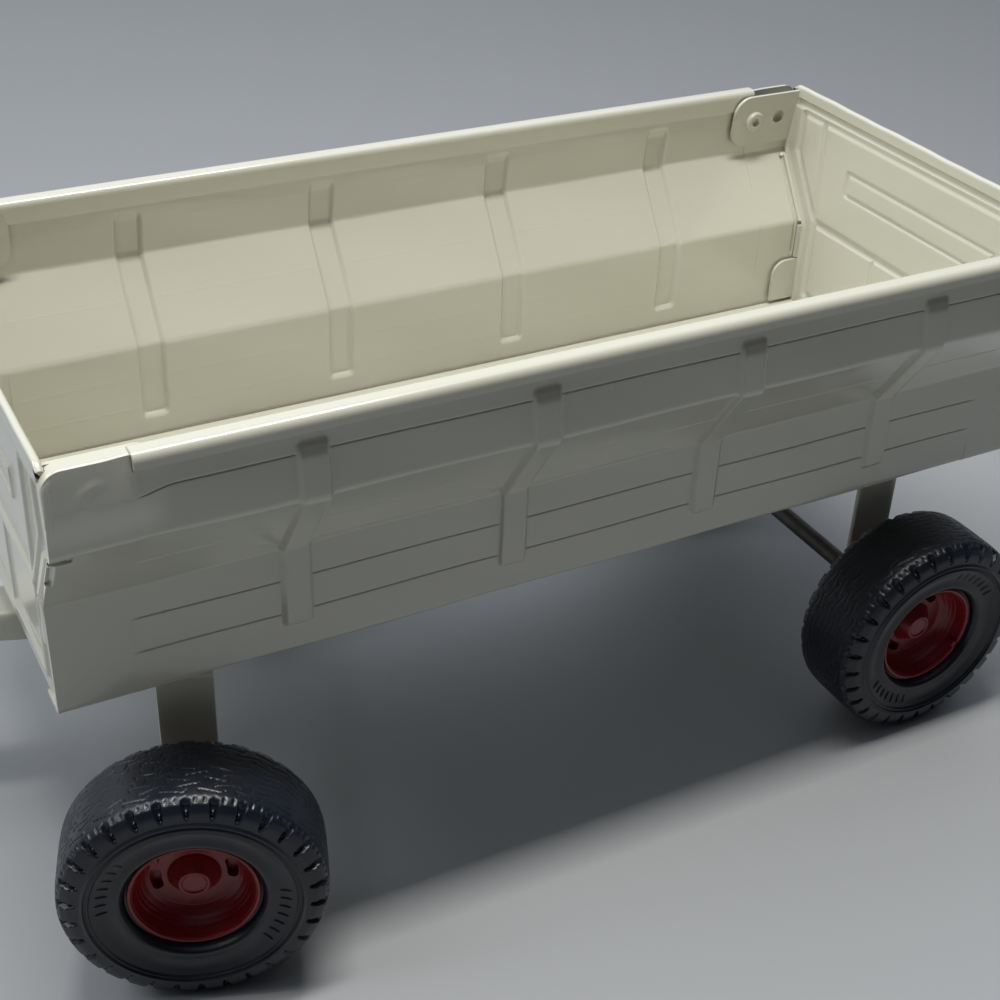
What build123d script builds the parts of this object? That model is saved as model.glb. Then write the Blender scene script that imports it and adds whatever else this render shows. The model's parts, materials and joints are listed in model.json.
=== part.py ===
from build123d import *
import os
from math import cos, sin, radians, tan, atan2, degrees, hypot

os.makedirs("parts", exist_ok=True)

# ------------------------------------------------------------------
# Toy farm wagon, flared pressed-steel box on two U-bracket axles.
# Millimetres. +Z up, X along the wagon: -X is the front (tongue end),
# +X the rear. Ground is Z = 0.
# ------------------------------------------------------------------

# driving dimensions -------------------------------------------------
SHEET = 0.9                 # box sheet thickness
BOX_LEN = 225.6             # over both end panels
SIDE_END = 112.6            # half length of a side panel
HALF_W = 54.25              # outer face of the box at the widest fold
Z_BOT = 60.8                # underside of the box
Z_FOLD2 = 84.9              # lower fold
Z_FOLD1 = 101.9             # upper fold
Z_RIM = 119.0               # top of the rim
IN_BOT = 11.1               # how far the wall is set in at the bottom
IN_FOLD2 = 11.4             # ... at the lower fold
IN_TOP = 2.1                # ... at the rim
RIM_W = 4.8                 # width of the rolled rim
RIM_H = 2.6                 # drop of the rolled rim's lip
RIB_W = 5.5                 # width of an embossed rib
RIB_OUT = 1.2               # how far a rib stands out
RIB_PITCH = 45.5
RIB_X0 = -66.6              # centre of the first rib
RIB_N = 4
Z_RIB_TOP = 112.9
Z_RIB_BOT = 67.4
FLANGE = 6.5                # inward flange at the foot of a side panel
END_ZONE = 96.5             # where the rolled rim stops
TAB_LEN = 20.5              # end panel's top tab
TAB_H = 13.0
EYELET_X = 98.4
HOLE_X = 106.4
EYELET_Z = 110.6
FIT = 0.03                  # slack between riveted sheets

TYRE_R = 25.4
TYRE_HALF = 10.0
SEAT_R = 11.5               # radius the tyre sits on
LIP_R = 12.5
LIP_U = 7.3                 # hub lip, out from the wheel's mid-plane
AXLE_R = 2.1
BORE_R = 2.16
AXLE_Z = TYRE_R
LEG_GAP = 7.5               # tyre side to bracket leg
LEG_W = 11.0
LEG_T = 1.3
FRONT_X = -74.7             # king rivet
FRONT_HALF_TRACK = 58.0
REAR_X = 83.3
REAR_HALF_TRACK = 50.7
STEER = -19.2               # how far the front axle is turned at rest
KING_R = 2.5
TONGUE_LEN = 105.0
TONGUE_W = 11.0
TONGUE_TOP = 49.2
HITCH_R = 2.5

# the origin is the middle of the whole wagon's footprint
X_MIN = FRONT_X - (TONGUE_LEN - TONGUE_W / 2) * cos(radians(STEER)) \
    - TONGUE_W / 2
SHIFT_X = (X_MIN + BOX_LEN / 2) / 2


def wire_face(pts):
    return make_face(Polyline(*[(a, b) for a, b in pts], close=True))


def prism_x(pts, x0, x1):
    """Polygon in (y, z) extruded from x0 to x1."""
    f = Plane.YZ.offset(x0) * wire_face(pts)
    return extrude(f, amount=x1 - x0, dir=(1, 0, 0))


def prism_y(pts, y0, y1):
    """Polygon in (x, z) extruded from y0 to y1."""
    f = Plane((0, y0, 0), x_dir=(1, 0, 0), z_dir=(0, -1, 0)) * wire_face(pts)
    return extrude(f, amount=y1 - y0, dir=(0, 1, 0))


def prism_z(pts, z0, z1):
    f = Plane.XY.offset(z0) * wire_face(pts)
    return extrude(f, amount=z1 - z0, dir=(0, 0, 1))


def block(x0, x1, y0, y1, z0, z1):
    return Pos((x0 + x1) / 2, (y0 + y1) / 2, (z0 + z1) / 2) * Box(
        x1 - x0, y1 - y0, z1 - z0)


def offset_line(pts, d):
    """Offset an open polyline by d to the right of its direction."""
    out = []
    n = len(pts)
    for i in range(n):
        def nrm(a, b):
            dx, dy = b[0] - a[0], b[1] - a[1]
            l = hypot(dx, dy)
            return dy / l, -dx / l
        if i == 0:
            nx, ny = nrm(pts[0], pts[1])
            out.append((pts[0][0] + nx * d, pts[0][1] + ny * d))
        elif i == n - 1:
            nx, ny = nrm(pts[-2], pts[-1])
            out.append((pts[-1][0] + nx * d, pts[-1][1] + ny * d))
        else:
            n1, n2 = nrm(pts[i - 1], pts[i]), nrm(pts[i], pts[i + 1])
            bx, by = n1[0] + n2[0], n1[1] + n2[1]
            k = 2.0 / (bx * bx + by * by)
            out.append((pts[i][0] + bx * k * d, pts[i][1] + by * k * d))
    return out


def lerp_y(pts, z):
    for a, b in zip(pts, pts[1:]):
        if min(a[1], b[1]) - 1e-9 <= z <= max(a[1], b[1]) + 1e-9:
            f = (z - a[1]) / (b[1] - a[1])
            return a[0] + (b[0] - a[0]) * f
    return pts[-1][0]


# ------------------------------------------------------------------
# side panel, drawn for the right-hand (-Y) wall
# ------------------------------------------------------------------
Y0 = -HALF_W
outer = [(Y0 + IN_BOT, Z_BOT), (Y0 + IN_FOLD2, Z_FOLD2), (Y0, Z_FOLD1),
         (Y0 + IN_TOP, Z_RIM)]
inner = offset_line(outer, SHEET)           # inner face of the sheet
inner[0] = (lerp_y(inner[:2], inner[0][1]), Z_BOT)
inner[-1] = (inner[-1][0], Z_RIM)


def band(d0, d1, z0, z1):
    """Part of the folded sheet between two offsets and two heights."""
    a, b = offset_line(outer, d0), offset_line(outer, d1)
    a[0], a[-1] = (a[0][0], Z_BOT), (a[-1][0], Z_RIM)
    b[0], b[-1] = (b[0][0], Z_BOT), (b[-1][0], Z_RIM)

    def cut(line):
        mid = [p for p in line if z0 + 1e-6 < p[1] < z1 - 1e-6]
        return [(lerp_y(line, z0), z0)] + mid + [(lerp_y(line, z1), z1)]
    return cut(a) + cut(b)[::-1]


def side_panel():
    full = band(0, SHEET, Z_BOT, Z_RIM)
    p = prism_x(full, -END_ZONE, END_ZONE)
    # lower bands run the whole length
    low = band(0, SHEET, Z_BOT, Z_FOLD1 + 1.0)
    p += prism_x(low, -SIDE_END, SIDE_END)
    # rolled rim: out over the top and down
    yi, yo = inner[-1][0], inner[-1][0] - RIM_W
    rim = [(yi - 0.3, Z_RIM - SHEET), (yi - 0.3, Z_RIM), (yo + 0.9, Z_RIM),
           (yo + 0.25, Z_RIM - 0.25), (yo, Z_RIM - 0.9),
           (yo, Z_RIM - RIM_H), (yo + SHEET, Z_RIM - RIM_H),
           (yo + SHEET, Z_RIM - SHEET)]
    p += prism_x(rim, -END_ZONE, END_ZONE)
    # the sheet behind each eyelet, and the corner plate set out from it
    plate_top = Z_RIM - 0.4
    yp0, yp1 = Y0, yo + 0.6                 # plate's outer face, foot and top
    plate = [(yp0, Z_FOLD1), (yp1, plate_top), (yp1 + SHEET, plate_top),
             (yp0 + SHEET, Z_FOLD1)]
    for s in (-1, 1):
        xa, xb_, xc = END_ZONE - 0.5, 102.4, SIDE_END

        def span(a, b):
            return (min(s * a, s * b), max(s * a, s * b))
        up = band(0, SHEET, Z_FOLD1 + 0.2, 114.6)
        p += prism_x(up, *span(xa, xb_))
        yl = lerp_y(inner, 113.8) - 0.1
        ledge = [(yl, 113.8), (yl, 114.6),
                 (yp1 + 0.5, 114.6), (yp1 + 0.5, 113.8)]
        p += prism_x(ledge, *span(xa, xb_))
        # plate's upper strip beside the rim's cut end
        strip = [(yp0 + (yp1 - yp0) * 0.72, 113.8), (yp1, plate_top),
                 (yp1 + SHEET, plate_top),
                 (yp0 + (yp1 - yp0) * 0.72 + SHEET, 113.8)]
        p += prism_x(strip, *span(xa, xb_ + 0.5))
        p += prism_x(plate, *span(xb_ - 0.9, xc))
        # step between the two planes
        step = [(yp0 + 0.2, Z_FOLD1 + 0.1), (yp1 + 0.2, 114.5),
                (lerp_y(inner, 114.5), 114.5), (inner[2][0], Z_FOLD1 + 0.1)]
        p += prism_x(step, *span(xb_ - 0.9, xb_))
        # front corners are closed over the top by a turned-in flange
        if s < 0:
            top = [(yp1 + 0.2, plate_top - SHEET), (yp1 + 0.2, plate_top),
                   (yi - 0.95, plate_top), (yi - 0.95, plate_top - SHEET)]
            p += prism_x(top, *span(xa, xc))
        # round the plate's free corner
        r = 3.3
        cx, cz = xc - r, plate_top - r
        corner = block(min(s * cx, s * (xc + 1)), max(s * cx, s * (xc + 1)),
                       yp1 - 3, yi + 3, cz, plate_top + 1)
        keep = Pos(s * cx, (yp1 + yi) / 2, cz) * Rot(90, 0, 0) * Cylinder(
            r, 20)
        p -= corner - keep
    # inward flange that carries the floor
    fy = inner[0][0]
    p += block(-SIDE_END + 3, SIDE_END - 3, fy - 0.5, fy + FLANGE,
               Z_BOT, Z_BOT + SHEET)
    # embossed ribs
    for i in range(RIB_N):
        x = RIB_X0 + RIB_PITCH * i
        p += prism_x(band(-RIB_OUT, SHEET * 0.5, Z_RIB_BOT, Z_RIB_TOP),
                     x - RIB_W / 2, x + RIB_W / 2)
        p -= prism_x(band(-RIB_OUT + SHEET, SHEET + 0.6, Z_RIB_BOT + 0.9,
                          Z_RIB_TOP - 0.9),
                     x - RIB_W / 2 + 0.8, x + RIB_W / 2 - 0.8)
    # slot under the upper fold near each end, where a lock tab shows
    for s in (-1, 1):
        p -= block(min(s * 108.2, s * 110.6), max(s * 108.2, s * 110.6),
                   Y0 - 2, Y0 + 6, 99.8, 100.6)
    return p


right_panel = side_panel()
left_panel = mirror(right_panel, about=Plane.XZ)

# floor pan ----------------------------------------------------------
FLOOR_Z0 = Z_BOT + SHEET
FLOOR_Z1 = FLOOR_Z0 + SHEET
fy = -inner[0][0] - 0.6
floor_pan = block(-SIDE_END + 2.0, SIDE_END - 2.0, -fy, fy, FLOOR_Z0, FLOOR_Z1)
floor_pan -= Pos(FRONT_X, 0, FLOOR_Z0) * Cylinder(KING_R, 10)
for dy in (-12, 12):
    floor_pan -= Pos(REAR_X, dy, FLOOR_Z0) * Cylinder(1.5, 10)

# rivets that join the floor pan to the side panels' flanges ----------
SPOT_X = (-95.0, -48.0, 0.0, 48.0, 95.0)
SPOT_Y = fy - 3.2
floor_rivets = None
for x in SPOT_X:
    for y in (-SPOT_Y, SPOT_Y):
        c = Pos(x, y, (Z_BOT + FLOOR_Z1) / 2) * Cylinder(
            1.1, FLOOR_Z1 - Z_BOT)
        c += Pos(x, y, FLOOR_Z1 + 0.25) * Cylinder(1.9, 0.5)
        c += Pos(x, y, Z_BOT - 0.2) * Cylinder(1.9, 0.4)
        floor_rivets = c if floor_rivets is None else floor_rivets + c
        hole = Pos(x, y, Z_BOT) * Cylinder(1.1, 6)
        floor_pan -= hole
        if y < 0:
            right_panel -= hole
        else:
            left_panel -= hole


# end panel, drawn for the rear ---------------------------------------
def end_panel():
    g = 1.0
    xo, xi = BOX_LEN / 2, BOX_LEN / 2 - SHEET
    half = [(abs(inner[0][0]) - g, Z_BOT - 0.5),
            (abs(inner[1][0]) - g, Z_FOLD2 - 0.3),
            (abs(inner[2][0]) - g, Z_FOLD1 - 0.3),
            (abs(inner[3][0]) - g + 0.2, Z_RIM)]
    outline = half + [(-y, z) for y, z in half[::-1]]
    p = prism_x(outline, xi, xo)
    # rolled top, turned into the box
    roll = [(xo, Z_RIM - 0.9), (xo - 0.25, Z_RIM - 0.25), (xo - 0.9, Z_RIM),
            (xo - 4.0 + 0.7, Z_RIM), (xo - 4.0, Z_RIM - 0.7),
            (xo - 4.0, Z_RIM - RIM_H),
            (xo - 4.0 + SHEET, Z_RIM - RIM_H),
            (xo - 4.0 + SHEET, Z_RIM - SHEET), (xi, Z_RIM - SHEET)]
    ytop = half[3][0] - 2.2
    p -= block(xi - 1, xo + 1, -60, 60, Z_RIM - 0.9, Z_RIM + 1)
    p += prism_y(roll, -ytop, ytop)
    for s in (-1, 1):
        # edge flanges along the two lower bands
        foot = (lerp_y(half, FLOOR_Z1 + 0.2), FLOOR_Z1 + 0.2)
        edge = [foot] + half[1:3]
        e = [(s * y, z) for y, z in edge]
        o = [(s * (y - SHEET), z) for y, z in edge]
        p += prism_x(e + o[::-1], xi - 4.0, xi + 0.1)
        # top tab against the wall's inner face
        yt0 = s * (abs(lerp_y(inner, 104.6)) - FIT)
        yt1 = s * (abs(lerp_y(inner, 117.9)) - FIT)
        tab = [(yt0, 104.6), (yt1, 117.9), (yt1 - s * SHEET, 117.9),
               (yt0 - s * SHEET, 104.6)]
        t = prism_x(tab, xi - TAB_LEN, xi + 0.1)
        r = 5.5
        for cz, zz in ((104.6 + r, 104.6), (117.9 - r, 117.9)):
            x0 = xi - TAB_LEN
            blk = block(x0 - 1, x0 + r, s * 54 - 8, s * 54 + 8,
                        min(cz, zz) - (1 if zz < cz else 0),
                        max(cz, zz) + (1 if zz > cz else 0))
            cyl = Pos(x0 + r, s * 54, cz) * Rot(90, 0, 0) * Cylinder(r, 30)
            t -= blk - cyl
        t -= Pos(HOLE_X, s * 50, EYELET_Z) * Rot(90, 0, 0) * Cylinder(1.9, 12)
        p += t
        # small ear at the foot
        ye = s * (half[0][0] - 0.1)
        ear = prism_x([(ye, 64.1), (ye + s * 0.0, 74.6),
                       (ye - s * SHEET, 74.6), (ye - s * SHEET, 64.1)],
                      xi - 9.0, xi + 0.1)
        r2 = 4.0
        for cz, zz in ((74.6 - r2, 74.6),):
            x0 = xi - 9.0
            blk = block(x0 - 1, x0 + r2, ye - 3, ye + 3, cz, zz + 1)
            cyl = Pos(x0 + r2, ye, cz) * Rot(90, 0, 0) * Cylinder(r2, 20)
            ear -= blk - cyl
        p += ear
    # pressed-in frame and cross bead
    for z, hw in ((75.0, 33.0),):
        p += block(xi - 0.7, xi + 0.1, -hw, hw, z - 1.1, z + 1.1)
    return p


rear_panel = end_panel()
front_panel = mirror(rear_panel, about=Plane.YZ)


# corner eyelets -------------------------------------------------------
LEAN = degrees(atan2(IN_TOP, Z_RIM - Z_FOLD1))
TAB_T = SHEET * cos(radians(LEAN))


def at_corner(sx, sy, part):
    """Local +Z points into the box, square to the leaning wall; local zero
    is where the tab meets the wall."""
    y = sy * abs(lerp_y(inner, EYELET_Z))
    return Pos(sx * EYELET_X, y, EYELET_Z) * Rot(
        90 * sy + LEAN * sy, 0, 0) * part


z0, z1 = -SHEET - FIT, TAB_T + 2 * FIT
barrel = Pos(0, 0, (z0 + z1) / 2) * Cylinder(1.6, z1 - z0)
one = barrel + Pos(0, 0, z1 + 0.35) * Cylinder(2.7, 0.7)
one += Pos(0, 0, z0 - 0.3) * Cylinder(2.5, 0.6)
one -= Cylinder(1.05, 8)
eyelets = None
for sx in (-1, 1):
    for sy in (-1, 1):
        e = at_corner(sx, sy, one)
        eyelets = e if eyelets is None else eyelets + e
        bore = at_corner(sx, sy, Cylinder(1.6, 6))
        if sy < 0:
            right_panel -= bore
        else:
            left_panel -= bore
        if sx > 0:
            rear_panel -= bore
        else:
            front_panel -= bore


# ------------------------------------------------------------------
# running gear
# ------------------------------------------------------------------
def bracket(half, z_top, holes):
    """U strip: flat web across the floor, a leg down at each side.
    half is the distance from the middle to a leg's outer face."""
    w = LEG_W / 2
    p = block(-w, w, -half, half, z_top - LEG_T, z_top)
    for s in (-1, 1):
        y0, y1 = sorted((s * half, s * (half - LEG_T)))
        leg = block(-w, w, y0, y1, AXLE_Z, z_top - 0.2)
        leg += Pos(0, (y0 + y1) / 2, AXLE_Z) * Rot(90, 0, 0) * Cylinder(
            w, LEG_T)
        p += leg
    p -= Pos(0, 0, AXLE_Z) * Rot(90, 0, 0) * Cylinder(AXLE_R, 300)
    for x, y, r in holes:
        p -= Pos(x, y, z_top) * Cylinder(r, 8)
    return p


def ring(r_in, r_out, u0, u1):
    c = Pos(0, 0, (u0 + u1) / 2) * Cylinder(r_out, u1 - u0)
    return c - Pos(0, 0, (u0 + u1) / 2) * Cylinder(r_in, u1 - u0 + 2)


def revolve_ru(pts):
    f = Plane.XZ * make_face(Polyline(*pts, close=True))
    return revolve(f, axis=Axis.Z)


def tyre():
    pts = [(SEAT_R, -6.6), (13.3, -6.6), (13.5, -8.4), (16.5, -9.5),
           (20.4, -TYRE_HALF), (23.1, -9.5), (24.6, -8.5), (25.15, -6.9),
           (TYRE_R, -3.0), (TYRE_R, 3.0), (25.15, 6.9), (24.6, 8.5),
           (23.1, 9.5), (20.4, TYRE_HALF), (16.5, 9.5), (13.5, 8.4),
           (13.3, 6.6), (SEAT_R, 6.6)]
    return revolve_ru(pts)


def hub():
    inner_end = -(TYRE_HALF + LEG_GAP) + 1.1
    pts = [(BORE_R, inner_end), (4.2, inner_end), (4.2, -0.2), (8.3, -0.2),
           (9.6, -1.6), (9.6, -7.3), (LIP_R, -7.3), (LIP_R, -6.6),
           (SEAT_R, -6.6), (SEAT_R, 6.6), (LIP_R, 6.6), (LIP_R, 6.95),
           (12.15, LIP_U), (11.7, 7.0), (11.2, 4.9), (10.6, 4.6),
           (10.4, 3.7), (9.8, 3.4), (9.5, 2.5), (8.9, 2.2), (8.6, 1.6),
           (BORE_R, 1.6)]
    h = revolve_ru(pts)
    # two curved slots through the dish floor
    for a in (1, -1):
        h -= Pos(a * 7.1, 0, 0.7) * Box(1.7, 4.6, 6)
    return h


def hub_cap():
    pts = [(4.6, 1.6), (4.35, 2.2), (2.95, 4.0), (2.7, 4.25), (2.1, 4.25),
           (1.95, 3.95), (0, 3.95), (0, 3.35), (2.35, 3.35), (3.75, 1.6)]
    return revolve_ru(pts)


def to_side(part, sy):
    """Local +Z (outward) becomes sy * Y."""
    return Rot(-90 * sy, 0, 0) * part if sy > 0 else Rot(90, 0, 0) * part


def wheel_pieces(half_track, spin):
    out = {}
    for name, sy in (("right", -1), ("left", 1)):
        o = {}
        o["tyre"] = Pos(0, sy * half_track, AXLE_Z) * to_side(tyre(), sy)
        o["hub"] = Pos(0, sy * half_track, AXLE_Z) * to_side(
            Rot(0, 0, spin[name]) * hub(), sy)
        o["hub_cap"] = Pos(0, sy * half_track, AXLE_Z) * to_side(hub_cap(), sy)
        out[name] = o
    return out


def axle_set(half_track):
    leg = half_track - TYRE_HALF - LEG_GAP
    rod = Pos(0, 0, AXLE_Z) * Rot(90, 0, 0) * Cylinder(
        AXLE_R, 2 * (half_track + 2.95))
    rod = chamfer(rod.edges().filter_by(GeomType.CIRCLE), 0.4)
    wash, nuts = None, None
    for sy in (-1, 1):
        w = Pos(0, sy * (leg + 0.4), AXLE_Z) * Rot(90, 0, 0) * ring(
            AXLE_R, 4.6, -0.4, 0.4)
        n = Pos(0, sy * (half_track + 2.2), AXLE_Z) * Rot(90, 0, 0) * ring(
            AXLE_R, 2.85, -0.3, 0.3)
        wash = w if wash is None else wash + w
        nuts = n if nuts is None else nuts + n
    return rod, wash, nuts, leg


parts = {
    "right_side_panel": right_panel,
    "left_side_panel": left_panel,
    "floor_pan": floor_pan,
    "floor_rivets": floor_rivets,
    "front_end_panel": front_panel,
    "rear_end_panel": rear_panel,
    "corner_eyelets": eyelets,
}

# rear axle ------------------------------------------------------------
rod, wash, nuts, leg = axle_set(REAR_HALF_TRACK)
REAR_TOP = FLOOR_Z0
at_rear = Pos(REAR_X, 0, 0)
parts["rear_axle_bracket"] = at_rear * bracket(
    leg, REAR_TOP, [(0, -12, 1.5), (0, 12, 1.5)])
rr = None
for dy in (-12, 12):
    z0, z1 = REAR_TOP - LEG_T, FLOOR_Z1
    c = Pos(REAR_X, dy, (z0 + z1) / 2) * Cylinder(1.5, z1 - z0)
    c += Pos(REAR_X, dy, z1 + 0.5) * Cylinder(2.8, 1.0)
    c += Pos(REAR_X, dy, z0 - 0.4) * Cylinder(2.6, 0.8)
    rr = c if rr is None else rr + c
parts["rear_bracket_rivets"] = rr
parts["rear_axle_rod"] = at_rear * rod
parts["rear_thrust_washers"] = at_rear * wash
parts["rear_push_nuts"] = at_rear * nuts
for side, o in wheel_pieces(REAR_HALF_TRACK,
                            {"right": 62.0, "left": 20.0}).items():
    for k, v in o.items():
        parts[f"rear_{side}_{k}"] = at_rear * v

# front axle, on the king rivet ------------------------------------------
rod, wash, nuts, leg = axle_set(FRONT_HALF_TRACK)
SPACER = 2.0
FRONT_TOP = FLOOR_Z0 - SPACER
turn = Pos(FRONT_X, 0, 0) * Rot(0, 0, STEER)
RUN = 0.06                          # running clearance on the king rivet
parts["front_axle_bracket"] = turn * bracket(
    leg, FRONT_TOP, [(0, 0, KING_R + RUN), (0, -9, 1.3), (0, 9, 1.3)])

TZ1 = FRONT_TOP - LEG_T             # top of the tongue's mounting plate
TT = 1.2
w = TONGUE_W / 2
tongue = block(-5.5, 5.5, -13.0, 13.0, TZ1 - TT, TZ1)
top_line = [(5.5, TZ1), (-13.0, TZ1), (-27.0, TONGUE_TOP),
            (-(TONGUE_LEN - w), TONGUE_TOP)]
bot_line = [(x, z - TT) for x, z in top_line]
tongue += prism_y(top_line + bot_line[::-1], -w, w)
tongue += Pos(-(TONGUE_LEN - w), 0, TONGUE_TOP - TT / 2) * Cylinder(w, TT)
for s in (-1, 1):
    cheek = [(-8.0, TZ1 - 0.6), (-13.0, TZ1 - 0.3), (-27.0, TONGUE_TOP - 0.3),
             (-(TONGUE_LEN - 13), TONGUE_TOP - 0.3),
             (-(TONGUE_LEN - 16), TONGUE_TOP - 6.8),
             (-30.0, TONGUE_TOP - 6.8), (-16.0, TZ1 - 7.0)]
    y0, y1 = sorted((s * w, s * (w - 1.1)))
    tongue += prism_y(cheek, y0, y1)
tongue -= Pos(-(TONGUE_LEN - w), 0, TONGUE_TOP) * Cylinder(HITCH_R, 10)
tongue -= Pos(0, 0, TZ1) * Cylinder(KING_R + RUN, 10)
for dy in (-9, 9):
    tongue -= Pos(0, dy, TZ1) * Cylinder(1.3, 10)
parts["tongue"] = turn * tongue
tr = None
for dy in (-9, 9):
    z0, z1 = TZ1 - TT, FRONT_TOP
    c = Pos(0, dy, (z0 + z1) / 2) * Cylinder(1.3, z1 - z0)
    c += Pos(0, dy, z1 + 0.35) * Cylinder(2.3, 0.7)
    c += Pos(0, dy, z0 - 0.35) * Cylinder(2.3, 0.7)
    tr = c if tr is None else tr + c
parts["tongue_rivets"] = turn * tr
parts["front_axle_rod"] = turn * rod
parts["front_thrust_washers"] = turn * wash
parts["front_push_nuts"] = turn * nuts
for side, o in wheel_pieces(FRONT_HALF_TRACK,
                            {"right": 6.0, "left": 75.0}).items():
    for k, v in o.items():
        parts[f"front_{side}_{k}"] = turn * v

spacer = Pos(FRONT_X, 0, (FLOOR_Z0 + FRONT_TOP) / 2) * ring(
    KING_R, 6.5, -SPACER / 2 + 0.1, SPACER / 2)
parts["king_spacer"] = spacer
z0, z1 = TZ1 - TT - 0.1, FLOOR_Z1
king = Pos(FRONT_X, 0, (z0 + z1) / 2) * Cylinder(KING_R, z1 - z0)
king += Pos(FRONT_X, 0, z1 + 0.6) * Cylinder(4.6, 1.2)
king += Pos(FRONT_X, 0, z0 - 0.6) * Cylinder(4.4, 1.2)
parts["king_rivet"] = king

for name, p in parts.items():
    q = Pos(-SHIFT_X, 0, 0) * p
    export_step(q, f"parts/{name}.step")
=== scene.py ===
import json
import math
import bpy
import numpy as np
from mathutils import Matrix, Vector


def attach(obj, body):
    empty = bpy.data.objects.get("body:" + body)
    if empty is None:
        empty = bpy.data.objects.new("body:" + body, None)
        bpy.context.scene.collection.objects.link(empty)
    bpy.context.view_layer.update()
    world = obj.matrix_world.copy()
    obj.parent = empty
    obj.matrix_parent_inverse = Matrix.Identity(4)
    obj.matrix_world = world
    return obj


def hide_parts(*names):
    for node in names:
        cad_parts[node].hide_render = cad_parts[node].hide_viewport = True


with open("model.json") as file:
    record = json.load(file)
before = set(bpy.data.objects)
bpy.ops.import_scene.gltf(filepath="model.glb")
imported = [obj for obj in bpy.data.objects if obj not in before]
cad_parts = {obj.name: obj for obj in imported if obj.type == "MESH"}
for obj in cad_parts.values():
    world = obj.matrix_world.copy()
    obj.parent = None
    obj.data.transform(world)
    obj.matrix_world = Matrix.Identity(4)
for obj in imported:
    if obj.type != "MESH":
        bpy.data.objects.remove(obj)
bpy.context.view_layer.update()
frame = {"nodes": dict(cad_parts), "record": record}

# ------------------------------------------------------------------ frame
# Everything below is drawn in millimetres with the box's middle at x = 0,
# then moved by SX and scaled to metres.
SX = 30.68272
SEAT_X = -74.7          # king rivet
STEER = math.radians(-19.2)
REAR_X = 83.3
AZ = 25.4


def sstep(a, b, x):
    t = np.clip((np.asarray(x, float) - a) / (b - a), 0, 1)
    return t * t * (3 - 2 * t)


def to_m(P):
    P = np.asarray(P, float).copy()
    P[..., 0] += SX
    return P / 1000.0


def raw_mesh(name, verts, faces, mat, angle=32, local=False, place=None):
    V = np.asarray(verts, float).reshape(-1, 3)
    if place is not None:
        V = place(V)
    V = to_m(V)
    F = np.asarray(faces, np.int64)
    me = bpy.data.meshes.new(name)
    me.vertices.add(len(V))
    me.vertices.foreach_set("co", V.astype(np.float32).ravel())
    k = F.shape[1]
    me.loops.add(F.size)
    me.loops.foreach_set("vertex_index", F.astype(np.int32).ravel())
    me.polygons.add(len(F))
    me.polygons.foreach_set("loop_start", np.arange(0, F.size, k, dtype=np.int32))
    me.update(calc_edges=True)
    me.validate()
    me.polygons.foreach_set("use_smooth", np.ones(len(me.polygons), bool))
    me.set_sharp_from_angle(angle=math.radians(angle))
    me.materials.append(mat)
    ob = bpy.data.objects.new(name, me)
    bpy.context.scene.collection.objects.link(ob)
    return ob


def grid_faces(n, m, off=0, flip=False, wu=False, wv=False):
    iu = np.arange(n if wu else n - 1)
    iv = np.arange(m if wv else m - 1)
    I, J = np.meshgrid(iu, iv, indexing="ij")
    I2, J2 = (I + 1) % n, (J + 1) % m
    f = np.stack([I * m + J, I2 * m + J, I2 * m + J2, I * m + J2], -1)
    f = f.reshape(-1, 4) + off
    return f[:, ::-1] if flip else f


class Parts:
    """Collects quads of several patches into one mesh."""

    def __init__(self):
        self.v, self.f, self.n = [], [], 0

    def patch(self, P, flip=False, wu=False, wv=False):
        P = np.asarray(P, float)
        n, m = P.shape[:2]
        self.v.append(P.reshape(-1, 3))
        self.f.append(grid_faces(n, m, self.n, flip, wu, wv))
        self.n += n * m

    def shell(self, A, B, flip=False):
        """Closed thick sheet between two grids of the same shape."""
        A, B = np.asarray(A, float), np.asarray(B, float)
        self.patch(A, flip)
        self.patch(B, not flip)
        self.patch(np.stack([A[0], B[0]]), not flip)
        self.patch(np.stack([A[-1], B[-1]]), flip)
        self.patch(np.stack([A[:, 0], B[:, 0]], 1), flip)
        self.patch(np.stack([A[:, -1], B[:, -1]], 1), not flip)

    def make(self, name, mat, angle=32, place=None):
        return raw_mesh(name, np.concatenate(self.v), np.concatenate(self.f),
                        mat, angle, place=place)


def fillet(pts, rad, n=7):
    out = [np.array(pts[0], float)]
    for i in range(1, len(pts) - 1):
        a, b, c = (np.array(pts[j], float) for j in (i - 1, i, i + 1))
        r = rad[i - 1]
        u, v = a - b, c - b
        lu, lv = np.linalg.norm(u), np.linalg.norm(v)
        u, v = u / lu, v / lv
        ang = math.acos(max(-1, min(1, float(u @ v))))
        if r <= 0 or math.pi - ang < 1e-3:
            out.append(b)
            continue
        t = min(r / math.tan(ang / 2), 0.49 * lu, 0.49 * lv)
        r = t * math.tan(ang / 2)
        mid = (u + v) / np.linalg.norm(u + v)
        ctr = b + mid * (r / math.sin(ang / 2))
        p0, p1 = b + u * t, b + v * t
        a0 = math.atan2(*(p0 - ctr)[::-1])
        a1 = math.atan2(*(p1 - ctr)[::-1])
        d = (a1 - a0 + math.pi) % (2 * math.pi) - math.pi
        for k in range(n + 1):
            q = a0 + d * k / n
            out.append(ctr + r * np.array([math.cos(q), math.sin(q)]))
    out.append(np.array(pts[-1], float))
    return np.array(out)


def resample(path, ds, keep=True):
    """Adds points so no step is longer than ds, keeping every corner."""
    out = [path[0]]
    for a, b in zip(path, path[1:]):
        l = np.linalg.norm(b - a)
        k = max(1, int(math.ceil(l / ds)))
        for j in range(1, k + 1):
            out.append(a + (b - a) * j / k)
    out = np.array(out)
    good = [0]
    for i in range(1, len(out)):
        if np.linalg.norm(out[i] - out[good[-1]]) > 1e-5:
            good.append(i)
    return out[good]


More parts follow.
